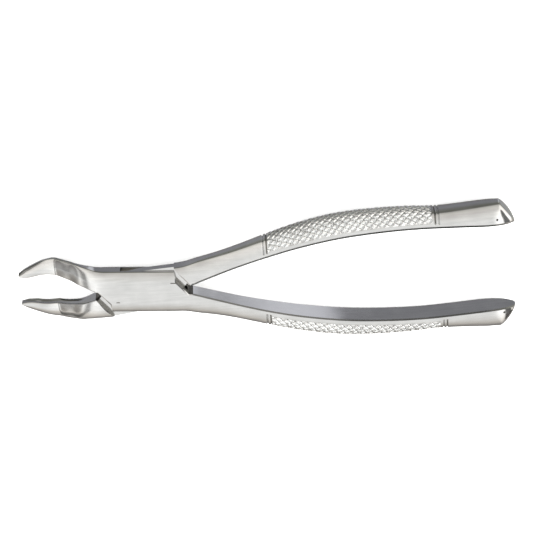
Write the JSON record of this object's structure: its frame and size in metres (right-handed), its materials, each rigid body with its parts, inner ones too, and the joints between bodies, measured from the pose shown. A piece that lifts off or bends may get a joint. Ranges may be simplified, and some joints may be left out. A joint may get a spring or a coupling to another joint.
{
  "type": "extraction forceps",
  "caption": "Dental extraction forceps with two hollow-faced offset beaks, a box joint on a flush riveted pin, and long bowed handles with knurled backs.",
  "frame": {"origin": "centre of the joint's under land, on the pivot axis", "axes": "+Z along the pivot axis, out of the joint's top land; +X from the pivot towards the handle ends; +Y towards the tongue half's handle. The forceps lie flat, with the beaks hooked towards -Z."},
  "size_m": [0.1754, 0.0492, 0.0123],
  "materials": {
    "box_half_steel": "forged stainless steel, mirror-polished, with a satin criss-cross knurl on the handle's back",
    "tongue_half_steel": "forged stainless steel, mirror-polished, with a satin criss-cross knurl on the handle's back",
    "pin_steel": "stainless steel rivet, headed over and ground flush with the polished cheeks"
  },
  "bodies": {
    "box_body": {"box_half": "box_half_steel", "joint_pin": "pin_steel"},
    "tongue_body": {"tongue_half": "tongue_half_steel"}
  },
  "joints": [
    {"name": "box_joint", "type": "hinge", "parent": "box_body", "child": "tongue_body", "pos_m": [0, 0, 0.0036], "axis": [0, 0, 1], "range_deg": [-9, 20]}
  ]
}
